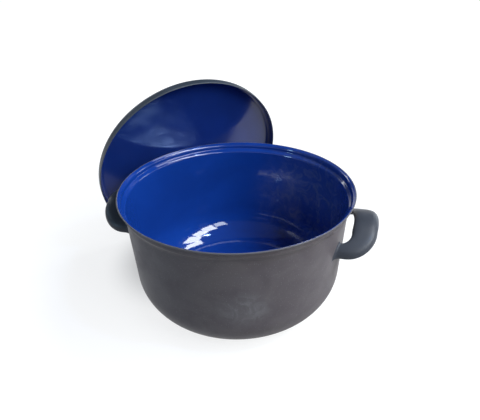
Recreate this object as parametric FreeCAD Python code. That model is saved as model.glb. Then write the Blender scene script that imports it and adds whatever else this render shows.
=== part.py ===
import FreeCAD
import Part
import math
import os

from FreeCAD import Vector

# Casserole in enamelled steel, in millimetres, +Z up.
# The origin is the centre of the flat base, and the handles lie along X.
# The lid stands on its edge behind the pot and leans on the rim.

# Pot
pot_height = 135.0        # base to the top of the lip
wall_radius = 117.6       # outside of the wall, just below the step
step_width = 3.7          # wall out to the collar, which the lid sits in
lip_reach = 2.7           # collar out to the edge of the lip
collar_depth = 12.0       # top of the lip down to the lower bend of the step
step_rise = 4.4           # height of the sloped step that the lid sits on
wall_taper = 2.46         # degrees that the wall draws in towards the base
base_corner = 45.5        # outer radius between wall and base
step_bend = 2.4           # outer radius of the two bends of the step
lip_bend = 2.6            # outer radius of the bend below the lip
lip_slope = 38.0          # degrees that the lip rises from level
shell_wall = 1.3          # steel with its outer enamel
lining_wall = 0.3         # enamel coat inside the pot and the lid

# Loop handles
handle_drop = 28.9        # top of the lip down to the underside of the grip
handle_half_span = 38.8   # middle of the grip to the middle of a foot
grip_reach = 17.6         # wall to the middle line of the grip
grip_bow = 1.5            # how far the grip swells outwards in its middle
handle_corner = 21.7      # bend from grip to foot, on the middle line
grip_width = 24.4
foot_width = 10.3
foot_splay = 1.6          # how far the feet spread on their way to the wall
foot_narrowing = 1.5      # more makes the loop narrow sooner on its way to the feet
handle_thickness = 6.6
handle_sheet = 1.4        # wall of the hollow handle
handle_arch = 15.0        # how far the feet lie below the middle of the grip
handle_squareness = 2.3   # 2 makes the section elliptical, more makes it squarer
foot_overlength = 4.0     # length of foot inside the wall, which is trimmed off

# Lid
lid_clearance = 1.7       # skirt to the inside of the collar
lid_height = 17.8         # edge to the outside of the crown
lid_skirt = 6.0           # straight part of the skirt
lid_corner = 8.0          # outer radius between skirt and crown
lid_shell_wall = 0.9      # steel with its outer enamel
lid_lean = 17.5           # degrees from upright, towards the pot
lid_bearing = 131.0       # direction from the pot's axis to the lid, degrees from +X
lid_side_shift = 4.3      # how far the lid stands to the left of that direction
rim_gap = 0.3             # rim to the inside of the leaning lid

# Knob
knob_height = 27.0
knob_radius = 20.0
knob_foot_radius = 11.5
knob_foot_height = 2.0
knob_waist_radius = 9.0
knob_waist_height = 7.5
knob_edge = 4.0           # rounding of the widest edge
knob_crown = 4.0          # rise of the top
knob_washer_radius = 13.0
knob_washer_thickness = 2.0
insert_radius = 4.5
insert_length = 15.0
screw_radius = 2.5
screw_grip = 10.0         # length of screw inside the insert
screw_head_radius = 4.8
screw_head_height = 2.8
slot_width = 1.2
slot_depth = 1.4
screw_washer_radius = 8.0
screw_washer_thickness = 1.0
hole_clearance = 0.4      # screw to the holes that it passes
thread_clearance = 0.05   # screw to the insert

# How finely the handle is described
grip_steps = 4
bend_steps = 6
foot_steps = 4
section_steps = 14

CENTRE = Vector(0, 0, 0)
UP = Vector(0, 0, 1)
ALONG_Y = Vector(0, 1, 0)


def sine(degrees):
    return math.sin(math.radians(degrees))


def cosine(degrees):
    return math.cos(math.radians(degrees))


def tangent(degrees):
    return math.tan(math.radians(degrees))


def at(radius, height):
    """A point of a profile that is turned about Z."""
    return Vector(radius, 0, height)


def line(start, end):
    return Part.LineSegment(start, end).toShape()


def arc(start, middle, end):
    return Part.Arc(start, middle, end).toShape()


def turned(edges):
    """The solid that a closed profile sweeps about Z."""
    profile = Part.Wire(Part.__sortEdges__(edges))
    return Part.Face(profile).revolve(CENTRE, UP, 360)


def disc(radius, thickness, height):
    return Part.makeCylinder(radius, thickness, at(0, height))


def left_of(direction):
    """The unit vector square to a direction of a profile, on its left."""
    return Vector(-direction.z, 0, direction.x).normalize()


def inset(points, depth):
    """The corners of the path that runs to the left of another, at a depth."""
    sides = [left_of(after - before) for before, after in zip(points, points[1:])]
    moved = [points[0] + sides[0] * depth]
    for corner, side, next_side in zip(points[1:], sides, sides[1:]):
        bisector = side + next_side
        moved.append(corner + bisector * (2 * depth / bisector.dot(bisector)))
    moved.append(points[-1] + sides[-1] * depth)
    return moved


def rounded(points, bends):
    """The edges of a path with an arc of a given radius at each inner corner."""
    edges = []
    start = points[0]
    for before, corner, after, bend in zip(points, points[1:], points[2:], bends):
        back = (before - corner).normalize()
        ahead = (after - corner).normalize()
        half_angle = back.getAngle(ahead) / 2
        reach = bend / math.tan(half_angle)
        middle = corner + (back + ahead).normalize() * (bend / math.sin(half_angle) - bend)
        edges.append(line(start, corner + back * reach))
        edges.append(arc(corner + back * reach, middle, corner + ahead * reach))
        start = corner + ahead * reach
    edges.append(line(start, points[-1]))
    return edges


# Pot: one bent path, from the axis along the base and up the wall to the lip

collar_radius = wall_radius + step_width
rim_radius = collar_radius + lip_reach
lip_round = shell_wall / 2
lip_centre = at(rim_radius - lip_round, pot_height - lip_round)
lip_direction = at(cosine(lip_slope), sine(lip_slope))
lip_end = lip_centre - left_of(lip_direction) * lip_round
lip_root_height = lip_end.z - (lip_end.x - collar_radius) * tangent(lip_slope)
step_foot_height = pot_height - collar_depth
pot_path = [
    CENTRE,
    at(wall_radius - step_foot_height * tangent(wall_taper), 0),
    at(wall_radius, step_foot_height),
    at(collar_radius, step_foot_height + step_rise),
    at(collar_radius, lip_root_height),
    lip_end,
]
# Outer radius of each bend, and whether it grows or shrinks below the surface
pot_bends = [(base_corner, -1), (step_bend, 1), (step_bend, -1), (lip_bend, 1)]


def pot_edges(depth):
    """The pot's path at a depth below its outer surface."""
    return rounded(inset(pot_path, depth), [bend + turn * depth for bend, turn in pot_bends])


def pot_layer(outer_depth, inner_depth, end_edge):
    """The layer of the pot's wall between two depths, closed at the lip by an edge."""
    axis_edge = line(at(0, outer_depth), at(0, inner_depth))
    return turned(pot_edges(outer_depth) + [end_edge] + pot_edges(inner_depth) + [axis_edge])


def pot_shell():
    ends = [inset(pot_path, depth)[-1] for depth in (0, shell_wall)]
    return pot_layer(0, shell_wall, arc(ends[0], lip_centre + lip_direction * lip_round, ends[1]))


def pot_lining():
    depths = (shell_wall, shell_wall + lining_wall)
    ends = [inset(pot_path, depth)[-1] for depth in depths]
    return pot_layer(*depths, line(*ends))


def pot_block():
    """Everything inside the pot's outer surface, for trimming what is welded to it."""
    closing = [line(lip_end, at(0, lip_end.z)), line(at(0, lip_end.z), CENTRE)]
    return turned(pot_edges(0) + closing)


# Handles: a section carried along a loop that is a D seen from above

def handle_middle_line():
    """Points of the loop's middle line seen from above, from one foot to the other."""
    grip = wall_radius + grip_reach
    bend_x = grip - handle_corner
    bend_y = handle_half_span - handle_corner
    foot_side = handle_half_span + foot_width
    foot_x = math.sqrt(wall_radius ** 2 - foot_side ** 2) - foot_overlength
    half = []
    for step in range(grip_steps):
        share = step / grip_steps
        half.append((grip + grip_bow * (1 - share ** 2), bend_y * share))
    for step in range(bend_steps):
        angle = 90 * step / bend_steps
        half.append((bend_x + handle_corner * cosine(angle), bend_y + handle_corner * sine(angle)))
    for step in range(foot_steps + 1):
        share = step / foot_steps
        half.append((bend_x + (foot_x - bend_x) * share, handle_half_span + foot_splay * share ** 2))
    mirrored = [(x, -y) for x, y in reversed(half[1:])]
    return [Vector(x, y, 0) for x, y in mirrored + half]


def dome(width, height):
    """Points (across, up) of a rounded arch over a width, from its outer to its inner end."""
    power = 2 / handle_squareness
    points = []
    for step in range(section_steps + 1):
        angle = 180 * step / section_steps
        across = math.copysign(abs(cosine(angle)) ** power, cosine(angle)) * width / 2
        points.append((across, abs(sine(angle)) ** power * height))
    return points


def spline(points):
    """A smooth edge through points."""
    curve = Part.BSplineCurve()
    curve.interpolate(points)
    return curve.toShape()


def channel_wire(point, outward):
    """The channel's section at a point of the loop: dome, lip, hollow and the other lip."""
    grip_share = abs(outward.x) ** foot_narrowing
    width = foot_width + (grip_width - foot_width) * grip_share

    def placed(section):
        places = []
        for across, up in section:
            place = point + outward * across
            place.z = pot_height - handle_drop + up - handle_arch * (place.y / handle_half_span) ** 2
            places.append(place)
        return places

    outside = placed(dome(width, handle_thickness))
    hollow = placed(reversed(dome(width - 2 * handle_sheet, handle_thickness - handle_sheet)))
    return Part.Wire([
        spline(outside), line(outside[-1], hollow[0]), spline(hollow), line(hollow[-1], outside[0]),
    ])


def handle():
    """The right-hand handle: a domed channel, open below, its feet fitted to the wall."""
    line_points = handle_middle_line()
    befores = line_points[:1] + line_points[:-1]
    afters = line_points[1:] + line_points[-1:]
    sections = []
    for point, before, after in zip(line_points, befores, afters):
        run = (after - before).normalize()
        sections.append(channel_wire(point, Vector(run.y, -run.x, 0)))
    return Part.makeLoft(sections, True, False).cut(pot_block())


# Lid: modelled with its edge on the XY plane and its crown up, then stood beside the pot

lid_radius = collar_radius - shell_wall - lining_wall - lid_clearance
lid_edge_round = lid_shell_wall / 2
lid_wall = lid_shell_wall + lining_wall
lid_corner_centre = at(lid_radius - lid_corner, lid_skirt)
crown_rise = lid_height - lid_skirt
crown_radius = lid_corner_centre.x ** 2 + crown_rise ** 2 - lid_corner ** 2
crown_radius /= 2 * (crown_rise - lid_corner)
crown_centre = at(0, lid_height - crown_radius)
crown_end_direction = (lid_corner_centre - crown_centre).normalize()
screw_hole = screw_radius + hole_clearance


def between(first, second):
    """The direction half way between two directions."""
    return (first + second).normalize()


def lid_edges(depth):
    """The lid's path at a depth below its outer surface, from the crown to the edge."""
    crown = crown_radius - depth
    corner = lid_corner - depth
    crown_end = crown_centre + crown_end_direction * crown
    skirt_top = lid_corner_centre + at(corner, 0)
    crown_middle = crown_centre + between(UP, crown_end_direction) * crown
    corner_middle = lid_corner_centre + between(crown_end_direction, at(1, 0)) * corner
    return [
        arc(crown_centre + UP * crown, crown_middle, crown_end),
        arc(crown_end, corner_middle, skirt_top),
        line(skirt_top, at(skirt_top.x, lid_edge_round)),
    ]


def lid_layer(outer_depth, inner_depth, end_edge):
    """The layer of the lid's wall between two depths, with the screw's hole through it."""
    axis_edge = line(at(0, lid_height - outer_depth), at(0, lid_height - inner_depth))
    layer = turned(lid_edges(outer_depth) + [end_edge] + lid_edges(inner_depth) + [axis_edge])
    return layer.cut(disc(screw_hole, lid_height, 0))


def lid_shell():
    ends = [at(lid_radius - depth, lid_edge_round) for depth in (0, lid_shell_wall)]
    return lid_layer(0, lid_shell_wall, arc(ends[0], at(lid_radius - lid_edge_round, 0), ends[1]))


def lid_lining():
    depths = (lid_shell_wall, lid_wall)
    ends = [at(lid_radius - depth, lid_edge_round) for depth in depths]
    return lid_layer(*depths, line(*ends))


# Knob and its fastening, in the lid's own frame

knob_base = lid_height + knob_washer_thickness
dish_radius = crown_radius - lid_wall
washer_seat = crown_centre.z + math.sqrt(dish_radius ** 2 - screw_washer_radius ** 2)
head_seat = washer_seat - screw_washer_thickness


def knob_washer():
    ring = disc(knob_washer_radius, knob_washer_thickness, lid_height)
    return ring.cut(disc(screw_hole, knob_washer_thickness, lid_height))


def lid_knob():
    """A turned mushroom knob with a blind hole for its insert."""
    edge_centre = at(knob_radius - knob_edge, knob_height - knob_crown - knob_edge)
    top_radius = (edge_centre.x ** 2 + knob_crown ** 2) / (2 * knob_crown)
    top_centre = at(0, knob_height - top_radius)
    under = edge_centre - UP * knob_edge
    shoulder = edge_centre + UP * knob_edge
    top_middle = top_centre + between(UP, (shoulder - top_centre).normalize()) * top_radius
    foot_top = at(knob_foot_radius, knob_foot_height)
    body = turned([
        line(CENTRE, at(knob_foot_radius, 0)),
        line(at(knob_foot_radius, 0), foot_top),
        arc(foot_top, at(knob_waist_radius, knob_waist_height), under),
        arc(under, edge_centre + at(knob_edge, 0), shoulder),
        arc(shoulder, top_middle, at(0, knob_height)),
        line(at(0, knob_height), CENTRE),
    ])
    body.translate(UP * knob_base)
    return body.cut(disc(insert_radius, insert_length, knob_base))


def knob_insert():
    bush = disc(insert_radius, insert_length, knob_base)
    return bush.cut(disc(screw_radius + thread_clearance, insert_length, knob_base))


def screw_washer():
    ring = disc(screw_washer_radius, screw_washer_thickness, head_seat)
    return ring.cut(disc(screw_hole, screw_washer_thickness, head_seat))


def knob_screw():
    """A slotted screw with its head below the washer in the dish."""
    head_base = head_seat - screw_head_height
    head = disc(screw_head_radius, screw_head_height, head_base)
    shank = disc(screw_radius, knob_base + screw_grip - head_seat, head_seat)
    corner = Vector(-screw_head_radius, -slot_width / 2, head_base)
    slot = Part.makeBox(2 * screw_head_radius, slot_width, slot_depth, corner)
    return head.fuse(shank).removeSplitter().cut(slot)


def stood_lid_place():
    """Where the lid stands: its edge on the floor, its dish or its screw against the rim."""
    to_lid = Vector(cosine(lid_bearing), sine(lid_bearing), 0)
    to_left = Vector(-to_lid.y, to_lid.x, 0)
    # Height of the edge's centre, from its lowest rounding touching the floor
    edge_ring = lid_radius - lid_edge_round
    height = edge_ring * cosine(lid_lean) + lid_edge_round * (1 - sine(lid_lean))
    rise = lip_centre.z - height
    # Distance from the pot's axis, from the rim touching the crown's inner sphere
    touching = dish_radius - lip_round - rim_gap
    level = rise - crown_centre.z * sine(lid_lean)
    distance = lip_centre.x - crown_centre.z * cosine(lid_lean)
    distance -= math.sqrt(touching ** 2 - level ** 2)
    # A rim that is level with the screw touches the screw's head instead
    up_the_lid = rise * cosine(lid_lean) - (lip_centre.x - distance) * sine(lid_lean)
    if math.hypot(up_the_lid, lid_side_shift) < screw_washer_radius + lip_round + rim_gap:
        contact = head_seat - screw_head_height - lip_round - rim_gap
        distance = lip_centre.x - (contact - rise * sine(lid_lean)) / cosine(lid_lean)
    place = to_lid * distance + to_left * lid_side_shift + UP * height
    lean = FreeCAD.Rotation(ALONG_Y, 90 - lid_lean)
    turn = FreeCAD.Rotation(UP, lid_bearing)
    return FreeCAD.Placement(place, turn.multiply(lean))


def stood(shape):
    """A piece of the lid, moved from the lid's own frame to where the lid stands."""
    return shape.transformed(stood_lid_place().toMatrix())


def opposite(shape):
    """A copy of a piece half a turn round the pot's axis."""
    copy = shape.copy()
    copy.rotate(CENTRE, UP, 180)
    return copy


def main():
    right_handle = handle()
    nodes = {
        "pot_shell": pot_shell(),
        "pot_lining": pot_lining(),
        "handle_right": right_handle,
        "handle_left": opposite(right_handle),
        "lid_shell": stood(lid_shell()),
        "lid_lining": stood(lid_lining()),
        "lid_knob": stood(lid_knob()),
        "knob_washer": stood(knob_washer()),
        "knob_insert": stood(knob_insert()),
        "knob_screw": stood(knob_screw()),
        "screw_washer": stood(screw_washer()),
    }
    os.makedirs("parts", exist_ok=True)
    for name, shape in nodes.items():
        shape.exportStep("parts/" + name + ".step")
        print(name, "solids", len(shape.Solids), "valid", shape.isValid(), "volume", round(shape.Volume))


main()
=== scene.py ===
import logging
import math
from dataclasses import dataclass, field, replace
from enum import Enum
from typing import Any, Sequence

import bpy
import numpy as np
from mathutils import Matrix, Vector


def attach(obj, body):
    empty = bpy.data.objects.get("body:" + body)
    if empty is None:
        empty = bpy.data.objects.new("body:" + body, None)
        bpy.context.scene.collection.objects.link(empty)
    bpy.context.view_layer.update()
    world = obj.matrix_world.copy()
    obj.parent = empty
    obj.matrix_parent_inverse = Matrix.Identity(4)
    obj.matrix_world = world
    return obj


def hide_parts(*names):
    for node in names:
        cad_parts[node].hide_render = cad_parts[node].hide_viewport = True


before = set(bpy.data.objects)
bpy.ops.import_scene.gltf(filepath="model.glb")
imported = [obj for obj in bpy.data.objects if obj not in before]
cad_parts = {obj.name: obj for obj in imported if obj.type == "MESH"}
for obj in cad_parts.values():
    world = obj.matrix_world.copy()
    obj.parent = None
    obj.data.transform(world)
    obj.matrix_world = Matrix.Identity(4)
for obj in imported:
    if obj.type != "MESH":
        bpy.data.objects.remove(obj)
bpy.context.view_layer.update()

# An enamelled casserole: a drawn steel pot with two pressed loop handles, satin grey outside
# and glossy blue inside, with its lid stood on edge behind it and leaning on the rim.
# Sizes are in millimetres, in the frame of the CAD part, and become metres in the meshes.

LOG = logging.getLogger("casserole")
MM = 0.001                # metres in a millimetre
SEGMENTS = 320            # steps of a full turn
BEND_STEPS = 24           # steps per radian of a bend
LEAST_BEND = 8            # fewest points on a bend
LEAST_RUN = 4             # fewest points on a straight run
RUN_POINTS = 200          # points on each run of a handle's middle line before it is evened out
DOME_POINTS = 4000        # points on a handle's dome before they are evened out
HANDLE_RINGS = 260        # rings along a handle
Triple = tuple[float, float, float]
WHITE: Triple = (1.0, 1.0, 1.0)
DAYLIGHT: Triple = (0.95, 0.99, 1.0)
SKYLIGHT: Triple = (0.35, 0.56, 1.0)


class Body(Enum):
    """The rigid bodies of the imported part."""

    POT = "pot"
    LID = "lid"


class Slot(Enum):
    """Names of the material slots; this script does not use them."""

    GREY = "grey_enamel"
    BLUE = "blue_enamel"
    HANDLE = "handle_enamel"
    RESIN = "knob_resin"
    RUBBER = "seal_rubber"
    STEEL = "screw_steel"


class Ends(Enum):
    """How a turned profile is closed."""

    AXIS = "starts and ends on the axis"
    RING = "comes back to its own start"


# Curves and surfaces

def smoothstep(low: float, high: float, value: np.ndarray) -> np.ndarray:
    """Share t of the way from low to high, held from 0 to 1 and eased as 3t^2 - 2t^3."""
    share = np.clip((value - low) / (high - low), 0.0, 1.0)
    return share * share * (3.0 - 2.0 * share)


def edge_mark(profile: np.ndarray, middle: np.ndarray, far: float, near: float) -> np.ndarray:
    """Mark of an edge: 1 up to the near distance from its middle, easing to 0 at the far one."""
    return smoothstep(far, near, np.linalg.norm(profile - middle, axis=1))


def oval_mark(points: np.ndarray, middle: Triple, size: Triple, core: float = 0.2) -> np.ndarray:
    """Mark of an oval patch: 1 inside a core, a share of its half size, easing to 0 at its outline."""
    return smoothstep(1.0, core, np.linalg.norm((points - middle) / size, axis=1))


def arc(centre: np.ndarray, radius: float, start: float, end: float, count: int) -> np.ndarray:
    """Circular arc: centre plus radius times (cos a, sin a), with a from start to end in radians."""
    angle = np.linspace(start, end, count)
    return centre + radius * np.stack([np.cos(angle), np.sin(angle)], axis=1)


def crowded(start: np.ndarray, end: np.ndarray, step: float) -> np.ndarray:
    """Straight run with points crowded towards both ends, by half a cosine wave.

    Args:
        start: first point, kept.
        end: last point, left for the next run.
        step: rough distance between points.

    Returns:
        Points from start up to, and without, end.
    """
    count = max(LEAST_RUN, int(np.linalg.norm(end - start) / step))
    share = 0.5 - 0.5 * np.cos(np.pi * np.arange(count) / count)
    return start + (end - start) * share[:, None]


def inset(corners: np.ndarray, depth: float) -> np.ndarray:
    """Corners of the path that runs to the left of another at a depth.

    Each inner corner moves along the sum s of its two unit normals, by 2 depth / (s . s).

    Args:
        corners: corners of the path.
        depth: distance to the left.

    Returns:
        Corners of the moved path.
    """
    run = np.diff(corners, axis=0)
    side = np.stack([-run[:, 1], run[:, 0]], axis=1)
    side /= np.linalg.norm(side, axis=1, keepdims=True)
    both = side[:-1] + side[1:]
    inner = corners[1:-1] + both * (2 * depth / (both * both).sum(1, keepdims=True))
    return np.concatenate([corners[:1] + side[:1] * depth, inner, corners[-1:] + side[-1:] * depth])


def rounded(corners: np.ndarray, bends: Sequence[float], step: float = 4.0) -> np.ndarray:
    """Path through corners, with an arc that touches both runs at each inner corner.

    Args:
        corners: corners of the path.
        bends: radius at each inner corner.
        step: rough distance between points of the straight runs.

    Returns:
        Points of the path, its first and last corner among them.
    """
    pieces: list[np.ndarray] = []
    start = corners[0]
    for before, corner, after, bend in zip(corners, corners[1:], corners[2:], bends):
        back = (before - corner) / np.linalg.norm(before - corner)
        ahead = (after - corner) / np.linalg.norm(after - corner)
        half = math.acos(float(np.clip(back @ ahead, -1, 1))) / 2
        reach = bend / math.tan(half)
        centre = corner + (back + ahead) / np.linalg.norm(back + ahead) * bend / math.sin(half)
        first, last = corner + back * reach, corner + ahead * reach
        low = math.atan2(*(first - centre)[::-1])
        turn = (math.atan2(*(last - centre)[::-1]) - low + math.pi) % (2 * math.pi) - math.pi
        count = max(LEAST_BEND, int(abs(turn) * BEND_STEPS))
        pieces += [crowded(start, first, step), arc(centre, bend, low, low + turn, count)[:-1]]
        start = last
    return np.concatenate(pieces + [crowded(start, corners[-1], step), corners[-1:]])


def resampled(line: np.ndarray, count: int) -> np.ndarray:
    """Points at even distances along a line.

    Args:
        line: points of the line.
        count: number of points wanted.

    Returns:
        The new points.
    """
    length = np.concatenate([[0], np.cumsum(np.linalg.norm(np.diff(line, axis=0), axis=1))])
    even = np.linspace(0, length[-1], count)
    return np.stack([np.interp(even, length, column) for column in line.T], axis=1)


def evened(line: np.ndarray, spread: float) -> np.ndarray:
    """Line whose bends start gently: each point is a bell-shaped mean of its neighbours.

    Args:
        line: points at even distances.
        spread: width of the bell, in points; it is cut off at three widths.

    Returns:
        The evened points.
    """
    reach = int(3 * spread)
    bell = np.exp(-0.5 * (np.arange(-reach, reach + 1) / spread) ** 2)
    padded = np.pad(line, ((reach, reach), (0, 0)), mode="reflect", reflect_type="odd")
    return np.stack([np.convolve(column, bell / bell.sum(), "valid") for column in padded.T], axis=1)


def ring_mean(grid: np.ndarray) -> np.ndarray:
    """Mean of each point of closed rings, along the last axis, with its neighbours, by 1 2 3 2 1."""
    near = {-2: 1, -1: 2, 0: 3, 1: 2, 2: 1}
    return sum(np.roll(grid, step, -1) * weight for step, weight in near.items()) / sum(near.values())


@dataclass
class Surface:
    """Closed skin of one piece in millimetres, with marks that its finish reads.

    Attributes:
        points: vertices, one row each.
        quads: four-sided faces.
        triangles: three-sided faces, at poles and ends.
        marks: values per vertex, by name.
    """

    points: np.ndarray
    quads: np.ndarray
    triangles: np.ndarray
    marks: dict[str, np.ndarray] = field(default_factory=dict)

    def corners(self) -> np.ndarray:
        """All faces as triangles, each quad cut along one diagonal."""
        return np.concatenate([self.quads[:, [0, 1, 2]], self.quads[:, [0, 2, 3]], self.triangles])

    def volume(self) -> float:
        """Signed volume: the sum over all triangles of a . (b x c) / 6."""
        a, b, c = (self.points[index] for index in self.corners().T)
        return float((a * np.cross(b, c)).sum() / 6.0)

    def outward(self) -> "Surface":
        """Turns the faces outwards if the volume is negative.

        Returns:
            The same skin.
        """
        if self.volume() < 0:
            self.quads = self.quads[:, ::-1]
            self.triangles = self.triangles[:, ::-1]
        return self

    def moved(self, matrix: np.ndarray) -> "Surface":
        """A new skin with the same faces and marks, carried by a 4 x 4 matrix in millimetres."""
        points = self.points @ matrix[:3, :3].T + matrix[:3, 3]
        return Surface(points, self.quads, self.triangles, self.marks)

    def to_object(self, name: str) -> bpy.types.Object:
        """Smooth-shaded mesh object in metres, at the origin.

        Args:
            name: name of the piece.

        Returns:
            The new object, in the scene.
        """
        mesh = bpy.data.meshes.new(name)
        faces = self.quads.tolist() + self.triangles.tolist()
        mesh.from_pydata((self.points * MM).tolist(), [], faces)
        mesh.polygons.foreach_set("use_smooth", np.ones(len(mesh.polygons), bool))
        for mark, values in self.marks.items():
            layer = mesh.attributes.new(mark, "FLOAT", "POINT")
            layer.data.foreach_set("value", values.astype(np.float32))
        mesh.update()
        thing = bpy.data.objects.new(name, mesh)
        bpy.context.scene.collection.objects.link(thing)
        return thing


def strip_faces(rows: int, columns: int, wrap_rows: bool) -> np.ndarray:
    """Quads of a grid whose columns close into rings.

    Args:
        rows: number of rings.
        columns: points on each ring.
        wrap_rows: whether the last ring joins the first.

    Returns:
        Vertex numbers of the quads.
    """
    row = np.arange(rows if wrap_rows else rows - 1)[:, None]
    column = np.arange(columns)[None, :]
    next_row, next_column = (row + 1) % rows, (column + 1) % columns
    corners = [row * columns + column, row * columns + next_column,
               next_row * columns + next_column, next_row * columns + column]
    return np.stack(corners, axis=-1).reshape(-1, 4)


def fan_faces(columns: int, tip: int) -> np.ndarray:
    """Triangles that close a run of rings: the first ring to a tip, the last to the next vertex.

    The vertices of the last ring come just before the tip; the first ring is followed backwards.

    Args:
        columns: points on each ring.
        tip: vertex number of the first ring's tip.

    Returns:
        Vertex numbers of the triangles.
    """
    first = np.arange(columns)
    last = first + tip - columns
    start = np.stack([np.roll(first, -1), first, np.full(columns, tip)], axis=1)
    end = np.stack([last, np.roll(last, -1), np.full(columns, tip + 1)], axis=1)
    return np.concatenate([start, end])


def turned(profile: np.ndarray, ends: Ends, marks: dict[str, np.ndarray] | None = None) -> Surface:
    """Profile turned about Z: point (r, z) at angle a lies at (r cos a, r sin a, z).

    Args:
        profile: points (r, z) in order.
        ends: whether the profile ends on the axis, in two poles, or is a closed ring.
        marks: values per profile point.

    Returns:
        The closed skin.
    """
    marks = marks or {}
    poles = ends is Ends.AXIS
    rings = profile[1:-1] if poles else profile
    angle = np.arange(SEGMENTS) * (2 * np.pi / SEGMENTS)
    points = np.stack([rings[:, :1] * np.cos(angle), rings[:, :1] * np.sin(angle),
                       np.repeat(rings[:, 1:], SEGMENTS, axis=1)], axis=-1).reshape(-1, 3)
    values = {mark: np.repeat(value[1:-1] if poles else value, SEGMENTS)
              for mark, value in marks.items()}
    triangles = np.zeros((0, 3), int)
    if poles:
        triangles = fan_faces(SEGMENTS, len(points))
        points = np.concatenate([points, [[0, 0, profile[0, 1]], [0, 0, profile[-1, 1]]]])
        values = {mark: np.concatenate([value, marks[mark][[0, -1]]])
                  for mark, value in values.items()}
    quads = strip_faces(len(rings), SEGMENTS, not poles)
    return Surface(points, quads, triangles, values).outward()


def lofted(grid: np.ndarray, marks: dict[str, np.ndarray]) -> Surface:
    """Skin over a run of closed rings, with a fan to the middle of each end ring.

    Args:
        grid: points, as rings by points on a ring by three.
        marks: values on the same grid.

    Returns:
        The closed skin.
    """
    rows, columns = grid.shape[:2]
    points = np.concatenate([grid.reshape(-1, 3), [grid[0].mean(0), grid[-1].mean(0)]])
    values = {mark: np.concatenate([value.ravel(), [value[0].mean(), value[-1].mean()]])
              for mark, value in marks.items()}
    triangles = fan_faces(columns, rows * columns)
    return Surface(points, strip_faces(rows, columns, False), triangles, values).outward()


def rounded_ring(inner: float, outer: float, low: float, high: float, edge: float) -> np.ndarray:
    """Closed profile of a flat ring: a rectangle with a quarter circle at each corner.

    Args:
        inner: inner radius.
        outer: outer radius.
        low: lower face.
        high: upper face.
        edge: radius of the corners.

    Returns:
        Points (r, z) in order.
    """
    middles = ((outer - edge, low + edge), (outer - edge, high - edge),
               (inner + edge, high - edge), (inner + edge, low + edge))
    quarter = math.pi / 2
    return np.concatenate([arc(np.array(middle), edge, quarter * (turn - 1), quarter * turn, count=7)
                           for turn, middle in enumerate(middles)])


# Shader nodes

class Graph:
    """Adds shader nodes to a tree and joins them."""

    def __init__(self, tree: bpy.types.NodeTree) -> None:
        """Keeps the node tree to fill."""
        self.tree = tree

    def add(self, kind: str, sockets: dict[Any, Any] | None = None, **settings: Any) -> bpy.types.Node:
        """New node.

        Args:
            kind: type name of the node.
            sockets: input by name or number, as a socket to join or a value to set.
            **settings: properties of the node.

        Returns:
            The node.
        """
        node = self.tree.nodes.new(kind)
        for key, value in settings.items():
            setattr(node, key, value)
        for key, value in (sockets or {}).items():
            self.join(value, node.inputs[key])
        return node

    def join(self, value: Any, socket: bpy.types.NodeSocket) -> None:
        """Joins a socket to an input, or sets the input's own value.

        Args:
            value: a socket or a plain value.
            socket: the input.
        """
        if isinstance(value, bpy.types.NodeSocket):
            self.tree.links.new(value, socket)
        else:
            socket.default_value = value

    def place(self) -> bpy.types.NodeSocket:
        """Coordinates in the piece's own frame, in metres."""
        return self.add("ShaderNodeTexCoord").outputs["Object"]

    def mark(self, name: str) -> bpy.types.NodeSocket:
        """Value of a mark that the skin carries, or 0 where it carries none."""
        return self.add("ShaderNodeAttribute", attribute_name=name).outputs["Fac"]

    def group(self, tree: bpy.types.NodeTree, **inputs: Any) -> bpy.types.NodeOutputs:
        """Outputs of a shared group whose inputs are given, such as Wave Scale as wave_scale."""
        sockets = {key.replace("_", " ").title(): value for key, value in inputs.items()}
        return self.add("ShaderNodeGroup", sockets, node_tree=tree).outputs

    def math(self, operation: str, *values: Any) -> bpy.types.NodeSocket:
        """Result of an operation on some values."""
        return self.add("ShaderNodeMath", dict(enumerate(values)), operation=operation).outputs[0]

    def mapped(self, value: Any, low: Any, high: Any, to_low: Any = 0.0, to_high: Any = 1.0,
               kind: str = "SMOOTHSTEP") -> bpy.types.NodeSocket:
        """Value carried from the range low to high to another range, and held inside it."""
        sockets = {0: value, 1: low, 2: high, 3: to_low, 4: to_high}
        return self.add("ShaderNodeMapRange", sockets, interpolation_type=kind).outputs[0]

    def mixed(self, share: Any, first: Any, second: Any) -> bpy.types.NodeSocket:
        """Colour between two colours: a share of 0 gives the first and 1 the second."""
        sockets = {0: share, 6: opaque(first), 7: opaque(second)}
        return self.add("ShaderNodeMix", sockets, data_type="RGBA").outputs[2]

    def noise(self, place: Any, scale: Any, detail: float = 3.0, roughness: float = 0.5,
              distortion: float = 0.0) -> bpy.types.NodeSocket:
        """Noise with a scale in waves per metre, and detail in finer layers of a falling weight."""
        sockets = {"Vector": place, "Scale": scale, "Detail": detail, "Roughness": roughness,
                   "Distortion": distortion}
        return self.add("ShaderNodeTexNoise", sockets).outputs[0]

    def bump(self, height: Any, distance: float) -> bpy.types.NodeSocket:
        """Normal bent by a height from 0 to 1 that stands for a distance in metres."""
        return self.add("ShaderNodeBump", {"Height": height, "Distance": distance}).outputs[0]


def opaque(colour: Any) -> Any:
    """Colour with full alpha, or the socket that it already is."""
    return (*colour, 1.0) if isinstance(colour, tuple) else colour


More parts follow.
